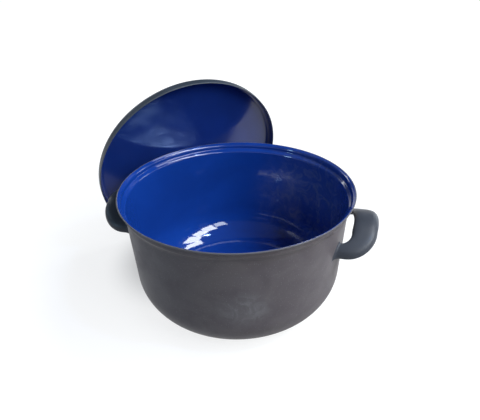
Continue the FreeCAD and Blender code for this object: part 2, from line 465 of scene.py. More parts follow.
def new_group(name: str, inputs: Sequence[str], outputs: Sequence[str]
              ) -> tuple[Graph, dict[str, bpy.types.NodeSocket], bpy.types.Node]:
    """Empty shader node group with plain number sockets.

    Args:
        name: name of the group.
        inputs: names of its inputs.
        outputs: names of its outputs.

    Returns:
        Its graph, its input sockets by name, and its output node.
    """
    tree = bpy.data.node_groups.new(name, "ShaderNodeTree")
    for in_out, labels in (("INPUT", inputs), ("OUTPUT", outputs)):
        for label in labels:
            tree.interface.new_socket(name=label, in_out=in_out, socket_type="NodeSocketFloat")
    graph = Graph(tree)
    source = graph.add("NodeGroupInput")
    return graph, {label: source.outputs[label] for label in inputs}, graph.add("NodeGroupOutput")


class Effects:
    """Surface effects that several finishes share, each one shader node group."""

    def __init__(self) -> None:
        """Builds the groups."""
        self.fired_coat = self._fired_coat()
        self.edge_wear = self._edge_wear()
        self.handling = self._handling()
        self.fine_lines = self._fine_lines()

    @staticmethod
    def _fired_coat() -> bpy.types.NodeTree:
        """Flow of a fired coat: slow waves with a fine peel, cloudy tone, and scattered specks.

        Returns:
            The group. Height is waves plus peel, Mottle and Specks are masks from 0 to 1.
        """
        inputs = ("Wave Scale", "Peel Scale", "Peel Share", "Mottle Scale", "Speck Scale")
        graph, given, result = new_group("fired_coat", inputs, ("Height", "Mottle", "Specks"))
        place = graph.place()
        waves = graph.noise(place, given["Wave Scale"], detail=2.0, roughness=0.45)
        peel = graph.noise(place, given["Peel Scale"], detail=2.0)
        height = graph.math("MULTIPLY_ADD", peel, given["Peel Share"], waves)
        cloud = graph.noise(place, given["Mottle Scale"], detail=4.0, roughness=0.6, distortion=0.6)
        sockets = {"Vector": place, "Scale": given["Speck Scale"]}
        cells = graph.add("ShaderNodeTexVoronoi", sockets).outputs
        draw = graph.add("ShaderNodeSeparateColor", {0: cells["Color"]}).outputs[0]
        grain = graph.mapped(cells["Distance"], low=0.32, high=0.12)
        chance = graph.mapped(draw, low=0.55, high=0.8)
        graph.join(height, result.inputs["Height"])
        graph.join(graph.mapped(cloud, low=0.3, high=0.7), result.inputs["Mottle"])
        graph.join(graph.math("MULTIPLY", grain, chance), result.inputs["Specks"])
        return graph.tree

    @staticmethod
    def _edge_wear() -> bpy.types.NodeTree:
        """Wear that eats into an edge unevenly.

        Returns:
            The group. Mask is the edge mark where it exceeds a ragged noise, and 0 elsewhere.
        """
        graph, given, result = new_group("edge_wear", ("Edge", "Amount", "Scale"), ("Mask",))
        noise = graph.noise(graph.place(), given["Scale"], detail=4.0, roughness=0.65)
        ragged = graph.math("MULTIPLY_ADD", noise, 0.7, -0.35)
        level = graph.math("MULTIPLY_ADD", given["Edge"], given["Amount"], ragged)
        worn = graph.mapped(level, low=0.28, high=0.72)
        graph.join(graph.math("MULTIPLY", worn, given["Edge"]), result.inputs["Mask"])
        return graph.tree

    @staticmethod
    def _handling() -> bpy.types.NodeTree:
        """Smudges from hands and cloths: bent cloudy patches.

        Returns:
            The group. Smudge is a mask from 0 to 1.
        """
        graph, given, result = new_group("handling", ("Scale",), ("Smudge",))
        patches = graph.noise(graph.place(), given["Scale"], detail=5.0, roughness=0.62, distortion=1.4)
        graph.join(graph.mapped(patches, low=0.42, high=0.68), result.inputs["Smudge"])
        return graph.tree

    @staticmethod
    def _fine_lines() -> bpy.types.NodeTree:
        """Fine drawn lines: noise stretched along one direction.

        Returns:
            The group. Lines is a value from 0 to 1.
        """
        graph, given, result = new_group("fine_lines", ("Scale",), ("Lines",))
        sockets = {"Vector": graph.place(), "Rotation": (0.3, 0.5, 0.8), "Scale": (1.0, 1.0, 0.04)}
        laid = graph.add("ShaderNodeMapping", sockets).outputs[0]
        graph.join(graph.noise(laid, given["Scale"], roughness=0.6), result.inputs["Lines"])
        return graph.tree


def new_material(name: str) -> tuple[bpy.types.Material, Graph, bpy.types.NodeInputs]:
    """Material with only a Principled shader.

    Args:
        name: name of the material.

    Returns:
        The material, its graph and the shader's inputs.
    """
    material = bpy.data.materials.new(name)
    material.use_nodes = True
    graph = Graph(material.node_tree)
    return material, graph, material.node_tree.nodes["Principled BSDF"].inputs


# Finishes

@dataclass(frozen=True)
class Enamel:
    """Fired glass coat on steel.

    Attributes:
        name: name of the material.
        deep: colour of the thicker coat.
        bright: colour of the thinner coat.
        speck: colour of the scattered specks.
        speck_share: strength of the specks.
        edge: colour where the coat thins over an edge.
        edge_amount: how far the thin edge reaches.
        shine: roughness of the clean coat.
        dull: roughness under smudges.
        wave_scale: slow waves per metre.
        peel_scale: fine waves per metre.
        peel_share: height of the fine waves against the slow ones.
        relief: height of the waves in metres.
        mottle_scale: clouds per metre.
        speck_scale: specks per metre.
        mirror: strength of the reflection, 0.5 for plain glass.
        smear: colour of a rubbed patch on the grey shell; on the blue lining, a pale grey that paints a
            haze of reflected light over a duller patch.
        smear_dull: roughness that such a patch adds.
        smear_even: share of that colour between the streaks of such a patch.
        smear_streak: what its streaks add to that share.
        streak_scale: streaks per metre.
        smudge_scale: smudges per metre.
        edge_scale: ragged bits of a thin edge per metre.
        edge_dull: roughness that a thin edge adds.
        refraction: index of the glass.
    """

    name: str
    deep: Triple
    bright: Triple
    speck: Triple
    speck_share: float
    edge: Triple
    edge_amount: float
    shine: float
    dull: float
    wave_scale: float
    peel_scale: float
    peel_share: float
    relief: float
    mottle_scale: float
    speck_scale: float
    mirror: float
    smear: Triple
    smear_dull: float = 0.0
    smear_even: float = 0.2
    smear_streak: float = 0.4
    streak_scale: float = 60.0
    smudge_scale: float = 16.0
    edge_scale: float = 420.0
    edge_dull: float = 0.08
    refraction: float = 1.52

    def material(self, effects: Effects) -> bpy.types.Material:
        """Builds the material.

        Args:
            effects: the shared node groups.

        Returns:
            The material.
        """
        material, graph, shader = new_material(self.name)
        coat = graph.group(effects.fired_coat, wave_scale=self.wave_scale, peel_scale=self.peel_scale,
                           peel_share=self.peel_share, mottle_scale=self.mottle_scale,
                           speck_scale=self.speck_scale)
        worn = graph.group(effects.edge_wear, edge=graph.mark("edge"), amount=self.edge_amount,
                           scale=self.edge_scale)["Mask"]
        smudge = graph.group(effects.handling, scale=self.smudge_scale)["Smudge"]
        streak = graph.group(effects.handling, scale=self.streak_scale)["Smudge"]
        # The smear colour mixes in by the smear mark: a rubbed patch on the grey shell, painted haze of
        # reflected light on the blue lining.
        rubbed = graph.mark("smear")
        film_and_haze = graph.math("MULTIPLY_ADD", streak, self.smear_streak, self.smear_even)
        film_and_haze = graph.math("MULTIPLY", rubbed, film_and_haze)
        specks = graph.math("MULTIPLY", coat["Specks"], self.speck_share)
        tone = graph.mixed(coat["Mottle"], self.deep, self.bright)
        for share, colour in ((film_and_haze, self.smear), (specks, self.speck), (worn, self.edge)):
            tone = graph.mixed(share, tone, colour)
        graph.join(tone, shader["Base Color"])
        rough = graph.mapped(smudge, 0.0, 1.0, self.shine, self.dull, "LINEAR")
        for share, more in ((rubbed, self.smear_dull), (worn, self.edge_dull)):
            rough = graph.math("MULTIPLY_ADD", share, more, rough)
        graph.join(rough, shader["Roughness"])
        graph.join(graph.bump(coat["Height"], self.relief), shader["Normal"])
        shader["IOR"].default_value = self.refraction
        shader["Specular IOR Level"].default_value = self.mirror
        return material


@dataclass(frozen=True)
class Moulding:
    """Moulded resin or rubber.

    Attributes:
        name: name of the material.
        deep: colour in general.
        rubbed: colour where it is rubbed.
        shine: roughness where it is rubbed.
        dull: roughness in general.
        grain_scale: grains per metre.
        relief: height of the grain in metres.
        smudge_scale: smudges per metre.
        smudge_share: strength of the rubbed colour in smudges.
        edge_amount: how far a rubbed edge reaches.
        edge_scale: ragged bits of a rubbed edge per metre.
    """

    name: str
    deep: Triple
    rubbed: Triple
    shine: float
    dull: float
    grain_scale: float
    relief: float
    smudge_scale: float = 60.0
    smudge_share: float = 0.5
    edge_amount: float = 0.8
    edge_scale: float = 300.0

    def material(self, effects: Effects) -> bpy.types.Material:
        """Builds the material.

        Args:
            effects: the shared node groups.

        Returns:
            The material.
        """
        material, graph, shader = new_material(self.name)
        smudge = graph.group(effects.handling, scale=self.smudge_scale)["Smudge"]
        worn = graph.group(effects.edge_wear, edge=graph.mark("edge"), amount=self.edge_amount,
                           scale=self.edge_scale)["Mask"]
        patches = graph.math("MULTIPLY", smudge, self.smudge_share)
        tone = graph.mixed(patches, self.deep, self.rubbed)
        graph.join(graph.mixed(worn, tone, self.rubbed), shader["Base Color"])
        rough = graph.mapped(smudge, 0.0, 1.0, self.dull, self.shine, "LINEAR")
        graph.join(rough, shader["Roughness"])
        grain = graph.noise(graph.place(), self.grain_scale, detail=2.0, roughness=0.6)
        graph.join(graph.bump(grain, self.relief), shader["Normal"])
        return material


@dataclass(frozen=True)
class Metal:
    """Bare turned metal.

    Attributes:
        name: name of the material.
        bright: colour of clean metal.
        dim: colour in its lines and stains.
        shine: lowest roughness.
        dull: highest roughness.
        line_scale: fine lines per metre.
        stain_scale: stains per metre.
        relief: height of the lines in metres.
    """

    name: str
    bright: Triple
    dim: Triple
    shine: float
    dull: float
    line_scale: float = 4000.0
    stain_scale: float = 150.0
    relief: float = 0.00002

    def material(self, effects: Effects) -> bpy.types.Material:
        """Builds the material.

        Args:
            effects: the shared node groups.

        Returns:
            The material.
        """
        material, graph, shader = new_material(self.name)
        lines = graph.group(effects.fine_lines, scale=self.line_scale)["Lines"]
        smudge = graph.group(effects.handling, scale=self.stain_scale)["Smudge"]
        stain = graph.math("MULTIPLY", graph.math("ADD", lines, smudge), 0.5)
        graph.join(graph.mixed(stain, self.bright, self.dim), shader["Base Color"])
        rough = graph.mapped(lines, 0.3, 0.7, self.shine, self.dull, "LINEAR")
        graph.join(rough, shader["Roughness"])
        graph.join(graph.bump(lines, self.relief), shader["Normal"])
        shader["Metallic"].default_value = 1.0
        return material


GREY_ENAMEL = Enamel(
    "satin_grey_enamel", deep=(0.094, 0.081, 0.087), bright=(0.117, 0.103, 0.107),
    speck=(0.20, 0.195, 0.205), speck_share=0.5, edge=(0.11, 0.105, 0.115), edge_amount=0.8,
    shine=0.42, dull=0.52, wave_scale=22.0, peel_scale=900.0, peel_share=0.08, relief=0.0004,
    mottle_scale=30.0, speck_scale=650.0, mirror=0.10, smear=(0.21, 0.205, 0.21))
# The blue finish's smear colour, a pale grey, is painted haze of reflected light on the lining's duller
# patch.
BLUE_ENAMEL = Enamel(
    "glossy_blue_enamel", deep=(0.0045, 0.031, 0.200), bright=(0.0054, 0.038, 0.24),
    speck=(0.008, 0.06, 0.33), speck_share=0.2, edge=(0.05, 0.07, 0.20), edge_amount=0.7,
    shine=0.045, dull=0.085, wave_scale=42.0, peel_scale=420.0, peel_share=0.02, relief=0.0004,
    mottle_scale=9.0, speck_scale=700.0, mirror=0.65, smear=(0.17, 0.18, 0.25), smear_dull=0.13)
# Painted shade: a darker, bluer copy of the pot's grey enamel for the lid's outside, the same enamel
# where it lies in shade.
DARKENED_COVER_ENAMEL = replace(
    GREY_ENAMEL, name="cover_grey_enamel_darkened", deep=(0.026, 0.033, 0.044), bright=(0.036, 0.044, 0.058),
    speck=(0.09, 0.10, 0.11), speck_share=0.25, edge=(0.075, 0.085, 0.10), edge_amount=0.6,
    shine=0.38, dull=0.48, wave_scale=30.0, peel_share=0.05, relief=0.0003, speck_scale=900.0,
    mirror=0.2)
# Painted shade: a darker copy of the pot's blue enamel for the lid's lining, the same enamel where it
# lies less lit; it is also rougher.
DARKENED_LID_ENAMEL = replace(
    BLUE_ENAMEL, name="lid_blue_enamel_darkened", deep=(0.0070, 0.023, 0.150), bright=(0.0080, 0.029, 0.185),
    speck=(0.010, 0.05, 0.33), shine=0.12, dull=0.18, wave_scale=28.0, relief=0.0003,
    mottle_scale=11.0, mirror=0.5)
HANDLE_ENAMEL = replace(
    DARKENED_COVER_ENAMEL, name="handle_grey_enamel", deep=(0.036, 0.040, 0.050), bright=(0.045, 0.049, 0.060),
    edge=(0.085, 0.095, 0.11), edge_amount=0.5, dull=0.46, wave_scale=40.0, peel_scale=700.0,
    relief=0.0002)
KNOB_RESIN = Moulding(
    "knob_black_resin", deep=(0.012, 0.012, 0.013), rubbed=(0.028, 0.028, 0.030),
    shine=0.28, dull=0.42, grain_scale=1500.0, relief=0.00004)
SEAL_RUBBER = Moulding(
    "seal_dark_rubber", deep=(0.020, 0.020, 0.021), rubbed=(0.040, 0.040, 0.041),
    shine=0.55, dull=0.75, grain_scale=2200.0, relief=0.00006)
SCREW_STEEL = Metal(
    "screw_steel", bright=(0.62, 0.62, 0.61), dim=(0.42, 0.42, 0.42), shine=0.22, dull=0.42)
INSERT_BRASS = Metal(
    "insert_brass", bright=(0.78, 0.58, 0.26), dim=(0.50, 0.36, 0.15), shine=0.25, dull=0.45)


# Sub-assemblies

def settle(surface: Surface, name: str, node: str, body: Body,
           material: bpy.types.Material) -> None:
    """Makes a skin a piece of the object, in place of a CAD node, and reports it.

    Args:
        surface: the skin, in place.
        name: name of the piece.
        node: CAD node that it stands for.
        body: body that it moves with.
        material: its material.
    """
    thing = surface.to_object(name)
    thing.data.materials.append(material)
    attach(thing, body.value)
    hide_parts(node)
    LOG.info("%s: %d points for %s, on %s", name, len(surface.points), node, body.value)


@dataclass
class Pot:
    """Drawn pot: steel shell with its grey coat, and the glossy lining inside.

    Attributes:
        height: base to the top of the lip.
        wall_radius: outside of the wall, just below the step.
        step_width: wall out to the collar.
        lip_reach: collar out to the edge of the lip.
        collar_depth: top of the lip down to the lower bend of the step.
        step_rise: height of the step.
        taper: degrees that the wall draws in towards the base.
        base_corner: outer radius between wall and base.
        step_bend: radius of the step's bends below the surface.
        soft_bends: radii of the step's lower and upper bend on the outside.
        lip_bend: outer radius of the bend below the lip.
        lip_slope: degrees that the lip rises from level.
        shell_wall: thickness of the shell.
        lining_wall: thickness of the lining.
        foot_radius: inside of the ring that the pot stands on.
        foot_ease: distance over which the base rises inside that ring.
        base_recess: how far the middle of the base is raised.
        worn_ring: radius of the worn ring on the base.
        worn_share: strength of the wear on that ring.
        step_build: how much higher the lining's coat carries the wall into the step.
        build_share: share of that rise by which the upper bend of the step grows.
        smear: middle of the rubbed patch on the front.
        smear_size: half size of that patch along x, y and z.
        film_and_haze: middle of the duller patch on the right of the inside, whose pale colour is
            painted haze of reflected light.
        film_and_haze_size: half size of that patch along x, y and z.
    """

    height: float = 135.0
    wall_radius: float = 117.6
    step_width: float = 3.7
    lip_reach: float = 2.7
    collar_depth: float = 12.0
    step_rise: float = 4.4
    taper: float = 2.46
    base_corner: float = 45.5
    step_bend: float = 2.4
    soft_bends: tuple[float, float] = (9.0, 5.0)
    lip_bend: float = 2.6
    lip_slope: float = 38.0
    shell_wall: float = 1.3
    lining_wall: float = 0.3
    foot_radius: float = 60.0
    foot_ease: float = 6.0
    base_recess: float = 0.6
    worn_ring: float = 64.0
    worn_share: float = 0.7
    step_build: float = 1.5
    build_share: float = 0.6
    smear: Triple = (34.0, -110.0, 66.0)
    smear_size: Triple = (36.0, 24.0, 26.0)
    film_and_haze: Triple = (76.0, 70.0, 66.0)
    film_and_haze_size: Triple = (106.0, 101.0, 104.0)

    @property
    def collar_radius(self) -> float:
        """Outside of the collar."""
        return self.wall_radius + self.step_width

    @property
    def lip_round(self) -> float:
        """Radius of the lip's rounded edge."""
        return self.shell_wall / 2

    @property
    def lip_centre(self) -> np.ndarray:
        """Middle of the lip's rounded edge, as (r, z)."""
        return np.array([self.collar_radius + self.lip_reach, self.height]) - self.lip_round

    @property
    def step_foot(self) -> float:
        """Height of the lower bend of the step."""
        return self.height - self.collar_depth

    @property
    def draw(self) -> float:
        """Tangent of the taper: how far the wall widens per millimetre of height."""
        return math.tan(math.radians(self.taper))

    def wall_at(self, height: np.ndarray | float) -> np.ndarray | float:
        """Outer radius of the tapered wall at heights below the step."""
        return self.wall_radius - (self.step_foot - height) * self.draw

    def corners(self) -> np.ndarray:
        """Corners of the outer path; the lip's underside slopes down from its end to the collar.

        Returns:
            Points (r, z) of axis, base, wall, step, collar and lip.
        """
        slope = math.radians(self.lip_slope)
        lip_end = self.lip_centre + self.lip_round * np.array([math.sin(slope), -math.cos(slope)])
        root = lip_end[1] - (lip_end[0] - self.collar_radius) * math.tan(slope)
        return np.array([
            (0.0, 0.0), (self.wall_at(0.0), 0.0), (self.wall_radius, self.step_foot),
            (self.collar_radius, self.step_foot + self.step_rise), (self.collar_radius, root), lip_end])

    def path(self, depth: float, build: float = 0.0) -> np.ndarray:
        """Path of the wall at a depth below the outer surface, from the axis to the lip.

        Args:
            depth: how far below.
            build: how much higher the lower bend of the step lies.

        Returns:
            Points (r, z).
        """
        corners = self.corners()
        corners[2] += [build * self.draw, build]
        low, high = (self.step_bend, self.step_bend) if depth else self.soft_bends
        bends = (self.base_corner - depth, low + depth, high - depth + self.build_share * build,
                 self.lip_bend + depth)
        return rounded(inset(corners, depth), bends)

    def shell(self) -> Surface:
        """Steel shell: outer path, half circle round the lip, inner path back to the axis.

        The base is raised by the recess inside its foot ring. The edge mark rises towards the lip
        and, less, on the foot ring. The smear mark is an oval patch on the front of the wall.

        Returns:
            The skin.
        """
        outer, inner = self.path(0.0), self.path(self.shell_wall)
        middle = smoothstep(self.foot_radius, self.foot_radius - self.foot_ease, outer[:, 0])
        outer[:, 1] += self.base_recess * middle
        slope, quarter = math.radians(self.lip_slope), math.pi / 2
        lip = arc(self.lip_centre, self.lip_round, slope - quarter, slope + quarter, count=13)[1:-1]
        profile = np.concatenate([outer, lip, inner[::-1]])
        lip_mark = edge_mark(profile, self.lip_centre, far=2.6, near=0.9)
        ring_mark = smoothstep(9.0, 2.0, np.abs(profile[:, 0] - self.worn_ring))
        foot_mark = self.worn_share * ring_mark * smoothstep(0.6, 0.1, profile[:, 1])
        skin = turned(profile, Ends.AXIS, {"edge": np.maximum(lip_mark, foot_mark)})
        skin.marks["smear"] = oval_mark(skin.points, self.smear, self.smear_size)
        return skin

    def lining(self) -> Surface:
        """Lining coat between two depths, fuller over the step.

        The edge mark rises towards the lip. The smear mark is a wide oval on the right, a duller coat
        whose pale grey colour is painted haze of reflected light.

        Returns:
            The skin.
        """
        outer = self.path(self.shell_wall)
        inner = self.path(self.shell_wall + self.lining_wall, self.step_build)
        profile = np.concatenate([outer, inner[::-1]])
        mark = edge_mark(profile, self.lip_centre, far=1.9, near=0.5)
        skin = turned(profile, Ends.AXIS, {"edge": mark})
        # Painted haze of reflected light: a wide oval on the right of the inside, also duller.
        skin.marks["smear"] = oval_mark(skin.points, self.film_and_haze, self.film_and_haze_size)
        return skin

    def dress(self, grey: bpy.types.Material, blue: bpy.types.Material) -> None:
        """Puts the shell with its grey finish and the lining with its blue one into the scene."""
        settle(self.shell(), "pot_body", "pot_shell", Body.POT, grey)
        settle(self.lining(), "pot_inner_coat", "pot_lining", Body.POT, blue)


@dataclass
class LoopHandle:
    """Pressed loop handle, hollow below, welded to the wall of the pot.

    Attributes:
        pot: the pot that it is welded to.
        drop: top of the lip down to the underside of the grip.
        half_span: middle of the grip to the middle of a foot.
        reach: wall to the middle line of the grip.
        bow: how far the grip swells outwards.
        corner: bend from grip to foot.
        grip_width: width of the grip.
        foot_width: width of the feet.
        splay: how far the feet spread.
        thickness: height of the domed section.
        sheet: wall of the hollow section.
        arch: how far the feet lie below the grip.
        narrowing: how soon the loop narrows towards the feet.
        squareness: power of the section's dome.
        overlength: length of foot inside the wall before it is trimmed.
        weld: radius of the enamelled weld at the feet.
        sunk: how far the trimmed feet reach into the wall.
        ease: width of the bell that evens out the middle line, in points.
        crowding: how much closer the rings lie near the feet, from 0 to 1.
    """

    pot: Pot
    drop: float = 28.9
    half_span: float = 38.8
    reach: float = 17.6
    bow: float = 1.5
    corner: float = 21.7
    grip_width: float = 24.4
    foot_width: float = 10.3
    splay: float = 1.6
    thickness: float = 6.6
    sheet: float = 1.4
    arch: float = 15.0
    narrowing: float = 1.5
    squareness: float = 3.0
    overlength: float = 4.0
    weld: float = 2.0
    sunk: float = 0.2
    ease: float = 9.0
    crowding: float = 0.45

    def middle_line(self) -> np.ndarray:
        """Middle line seen from above, from foot to foot, at even distances.

        Half of it is a grip whose x falls with the square of its share, a quarter circle, and a
        foot whose y grows with the square of its share; the other half mirrors it.

        Returns:
            Points (x, y).
        """
        grip_x = self.pot.wall_radius + self.reach
        bend = np.array([grip_x - self.corner, self.half_span - self.corner])
        foot_side = self.half_span + self.foot_width
        foot_x = math.sqrt(self.pot.wall_radius ** 2 - foot_side ** 2) - self.overlength
        share = np.linspace(0, 1, RUN_POINTS, endpoint=False)
        grip = np.stack([grip_x + self.bow * (1 - share ** 2), bend[1] * share], axis=1)
        curve = arc(bend, self.corner, 0.0, math.pi / 2, RUN_POINTS + 1)[:-1]
        foot = np.stack([bend[0] + (foot_x - bend[0]) * share,
                         self.half_span + self.splay * share ** 2], axis=1)
        half = np.concatenate([grip, curve, foot])
        line = np.concatenate([half[:0:-1] * [1, -1], half])
        return evened(resampled(line, 4 * RUN_POINTS + 1), self.ease)

    def section(self) -> dict[str, np.ndarray]:
        """Round the section: the outer dome from lip to lip, then the hollow back.

        Both are powers of sine and cosine, |cos|^(2/n) across and |sin|^(2/n) up, over half a turn.
        Across is scaled by half the width less a narrowing, and up by a height.

        Returns:
            Arrays across, up, narrow, tall and skin, one value per point.
        """
        power = 2 / self.squareness
        mean = (self.grip_width + self.foot_width) / 2
        turn = np.linspace(0, math.pi, DOME_POINTS)
        dome = np.stack([np.sign(np.cos(turn)) * np.abs(np.cos(turn)) ** power,
                         np.abs(np.sin(turn)) ** power], axis=1)
        outside = {"narrow": 0.0, "tall": self.thickness, "skin": 1.0}
        hollow = {"narrow": self.sheet, "tall": self.thickness - self.sheet, "skin": 0.0}
        parts: list[dict[str, np.ndarray]] = []
        for unit, sizes, count in ((dome, outside, 90), (dome[::-1], hollow, 70)):
            scale = np.array([mean / 2 - sizes["narrow"], sizes["tall"]])
            across, up = (resampled(unit * scale, count) / scale).T
            sizes = {key: np.full(count, value) for key, value in sizes.items()}
            parts.append({"across": across, "up": up, **sizes})
        return {key: np.concatenate([part[key] for part in parts]) for key in parts[0]}

    def sections(self, where: np.ndarray, track: np.ndarray, shape: dict[str, np.ndarray]
                 ) -> tuple[np.ndarray, ...]:
        """Sections at places along the middle line.

        The width goes from the foot's to the grip's with a power of the x of the side vector.

        Args:
            where: numbers of points of the line, or values between them, one row per ring.
            track: points (x, y) of the line and unit vectors (x, y) across it, outwards.
            shape: the section's arrays.

        Returns:
            Distances across and up, points of the line, and unit vectors across it.
        """
        number = np.arange(len(track))
        at = np.stack([np.interp(where, number, column) for column in track.T], axis=-1)
        line, side = at[..., :2], at[..., 2:]
        side = side / np.linalg.norm(side, axis=-1, keepdims=True)
        grip = np.abs(side[..., 0]) ** self.narrowing
        width = self.foot_width + (self.grip_width - self.foot_width) * grip
        across = ring_mean(shape["across"] * (width / 2 - shape["narrow"]))
        up = np.broadcast_to(ring_mean(shape["up"] * shape["tall"]), across.shape)
        return across, up, line, side

    def placed(self, across: np.ndarray, up: np.ndarray, line: np.ndarray, side: np.ndarray
               ) -> np.ndarray:
        """Places of section points, carried along the line and arched.

        Height is the level of the grip's underside plus the section, less the arch times the square
        of y over the half span.

        Args:
            across: distance across the loop.
            up: distance above the underside of the section.
            line: points (x, y) of the middle line.
            side: unit vectors (x, y) across it, outwards.

        Returns:
            Points (x, y, z).
        """
        level = line + side * across[..., None]
        height = self.pot.height - self.drop + up - self.arch * (level[..., 1] / self.half_span) ** 2
        return np.concatenate([level, height[..., None]], axis=-1)

    def clearance(self, points: np.ndarray) -> np.ndarray:
        """Distance of points from the outside of the wall, measured along the radius."""
        return np.hypot(points[..., 0], points[..., 1]) - self.pot.wall_at(points[..., 2])

    def trimmed(self, track: np.ndarray, shape: dict[str, np.ndarray]) -> np.ndarray:
        """Places of the rings along the line, from wall to wall, closer near the feet.

        For each point of the section, the stretch between its two crossings of the wall is shared
        out by a mean of an even run and half a cosine wave.

        Args:
            track: points of the line and unit vectors across it.
            shape: the section's arrays.

        Returns:
            Numbers of line points, or values between them, as rings by section points.
        """
        number = np.arange(len(track), dtype=float)[:, None]
        whole = self.sections(np.repeat(number, len(shape["across"]), axis=1), track, shape)
        inside = self.clearance(self.placed(*whole)) < -self.sunk
        half = len(track) // 2
        first = half - np.argmax(inside[half::-1], axis=0)
        last = half + np.argmax(inside[half:], axis=0)
        even = np.linspace(0, 1, HANDLE_RINGS)[:, None]
        wave = 0.5 - 0.5 * np.cos(np.pi * even)
        return first + (last - first) * ((1 - self.crowding) * even + self.crowding * wave)

    def skin(self) -> Surface:
        """Right-hand handle, its feet trimmed to the wall and flared by the weld.

        Within the weld's radius w of the wall, at a distance d, the section grows by
        w - sqrt(w^2 - (w - d)^2). The edge mark lies on the ridges, the rim and the weld.

        Returns:
            The skin.
        """
        line = self.middle_line()
        run = np.gradient(line, axis=0)
        run /= np.linalg.norm(run, axis=1, keepdims=True)
        track = np.column_stack([line, run[:, 1], -run[:, 0]])
        shape = self.section()
        across, up, middle, side = self.sections(self.trimmed(track, shape), track, shape)
        gap = self.clearance(self.placed(across, up, middle, side))
        short = self.weld - np.clip(gap, 0.0, self.weld)
        grown = (self.weld - np.sqrt(self.weld ** 2 - short ** 2)) * ring_mean(shape["skin"])
        step = np.stack([np.roll(value, -1, -1) - np.roll(value, 1, -1) for value in (across, up)])
        step /= np.linalg.norm(step, axis=0)
        points = self.placed(across + grown * step[1], up - grown * step[0], middle, side)
        radius = np.hypot(points[..., 0], points[..., 1])
        kept = np.where(gap < self.weld, (self.pot.wall_at(points[..., 2]) + gap) / radius, 1.0)
        points[..., :2] *= kept[..., None]
        border = np.abs(ring_mean(ring_mean(shape["skin"])) - shape["skin"])
        ridge = 0.45 * smoothstep(0.86, 0.99, np.abs(shape["across"])) * shape["skin"]
        rim = smoothstep(0.5, 0.95, 2 * border)
        seam = 0.5 * smoothstep(1.2 * self.weld, 0.3 * self.weld, gap)
        return lofted(points, {"edge": np.maximum(np.maximum(ridge, rim), seam)})

    def dress(self, enamel: bpy.types.Material) -> None:
        """Puts the right handle and its copy half a turn round into the scene.

        Args:
            enamel: finish of the handles.
        """
        right = self.skin()
        left = right.moved(np.diag([-1.0, -1.0, 1.0, 1.0]))
        settle(right, "loop_right", "handle_right", Body.POT, enamel)
        settle(left, "loop_left", "handle_left", Body.POT, enamel)


